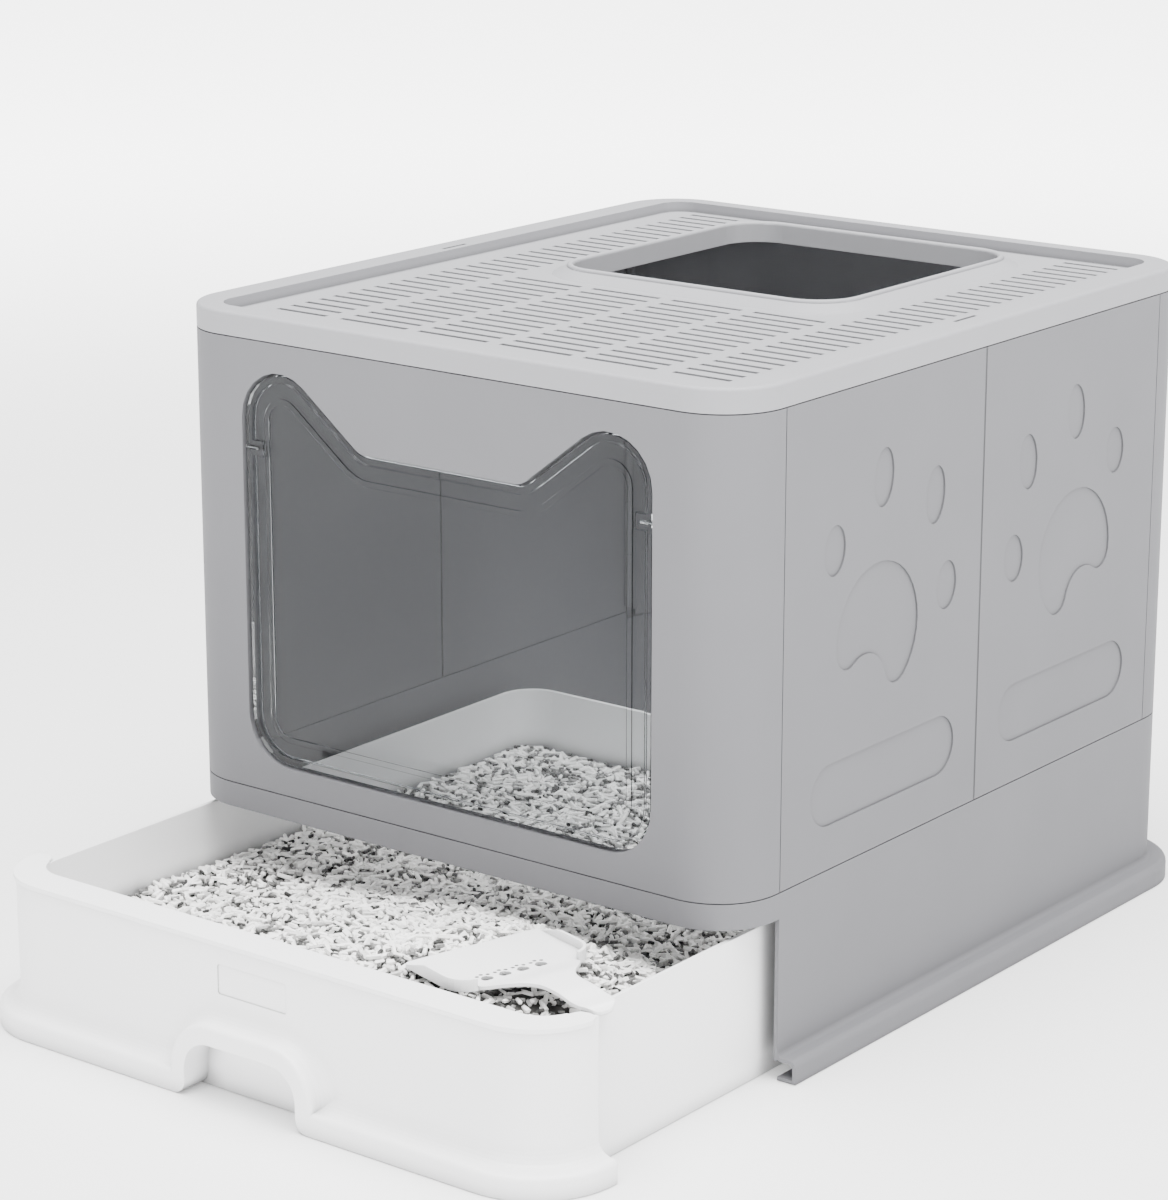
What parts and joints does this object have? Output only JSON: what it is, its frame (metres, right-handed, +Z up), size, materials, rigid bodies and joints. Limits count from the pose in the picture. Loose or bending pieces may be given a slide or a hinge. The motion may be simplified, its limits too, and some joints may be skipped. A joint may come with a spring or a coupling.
{
  "type": "drawer litter box",
  "caption": "Foldable covered litter box with a top exit through a slotted lid, a clear cat-head front flap, a pull-out drawer and a scoop.",
  "frame": {"origin": "on the floor under the centre of the housing's plan, without the drawer and the foot flange", "axes": "+X to the right seen from the front, +Y to the rear, +Z up"},
  "size_m": [0.424, 0.656, 0.388],
  "materials": {
    "housing": "fine matte moulding, light grey",
    "lid": "fine matte moulding, light grey",
    "white": "smooth satin white moulding",
    "clear": "clear moulded plastic",
    "strip": "soft dark grey flexible strip",
    "pin": "plain steel wire",
    "litter": "loose pale pellet granules"
  },
  "bodies": {
    "base": {"base_frame": "housing"},
    "drawer": {"drawer_tray": "white", "litter_bed": "litter"},
    "scoop": {"scoop": "white"},
    "front_wall": {"front_panel": "housing", "hinge_pin_front_right": "pin", "hinge_pin_front_left": "pin"},
    "flap": {"flap_pane": "clear", "flap_pin_right": "pin", "flap_pin_left": "pin"},
    "lid": {"lid": "lid"},
    "right_front": {"right_front_panel": "housing", "right_fold_strip": "strip"},
    "right_rear": {"right_rear_panel": "housing"},
    "rear_wall": {"rear_panel": "housing", "hinge_pin_rear_right": "pin", "hinge_pin_rear_left": "pin"},
    "left_front": {"left_front_panel": "housing", "left_fold_strip": "strip"},
    "left_rear": {"left_rear_panel": "housing"}
  },
  "joints": [
    {"name": "drawer_slide", "type": "slide", "parent": "base", "child": "drawer", "axis": [0, -1, 0], "range_m": [-0.158, 0.3]},
    {"name": "scoop_lift", "type": "slide", "parent": "drawer", "child": "scoop", "axis": [0, 0, 1], "range_m": [0, 0.2]},
    {"name": "walls_lift", "type": "slide", "parent": "base", "child": "front_wall", "axis": [0, 0, 1], "range_m": [0, 0.15]},
    {"name": "flap_swing", "type": "hinge", "parent": "front_wall", "child": "flap", "pos_m": [0, -0.233, 0.311], "axis": [-1, 0, 0], "range_deg": [-80, 50]},
    {"name": "lid_lift", "type": "slide", "parent": "front_wall", "child": "lid", "axis": [0, 0, 1], "range_m": [0, 0.15]},
    {"name": "right_front_fold", "type": "hinge", "parent": "front_wall", "child": "right_front", "pos_m": [0.196, -0.195, 0.24], "axis": [0, 0, 1], "range_deg": [0, 88]},
    {"name": "right_middle_fold", "type": "hinge", "parent": "right_front", "child": "right_rear", "pos_m": [0.2, 0, 0.24], "axis": [0, 0, 1], "range_deg": [-176, 0]},
    {"name": "right_rear_fold", "type": "hinge", "parent": "right_rear", "child": "rear_wall", "pos_m": [0.196, 0.195, 0.24], "axis": [0, 0, 1], "range_deg": [0, 88]},
    {"name": "left_front_fold", "type": "hinge", "parent": "front_wall", "child": "left_front", "pos_m": [-0.196, -0.195, 0.24], "axis": [0, 0, 1], "range_deg": [-88, 0]},
    {"name": "left_middle_fold", "type": "hinge", "parent": "left_front", "child": "left_rear", "pos_m": [-0.2, 0, 0.24], "axis": [0, 0, 1], "range_deg": [0, 176]}
  ],
  "couplings": [
    {"joint": "right_middle_fold", "follows": "right_front_fold", "ratio": -2},
    {"joint": "right_rear_fold", "follows": "right_front_fold", "ratio": 1},
    {"joint": "left_front_fold", "follows": "right_front_fold", "ratio": -1},
    {"joint": "left_middle_fold", "follows": "right_front_fold", "ratio": 2}
  ]
}
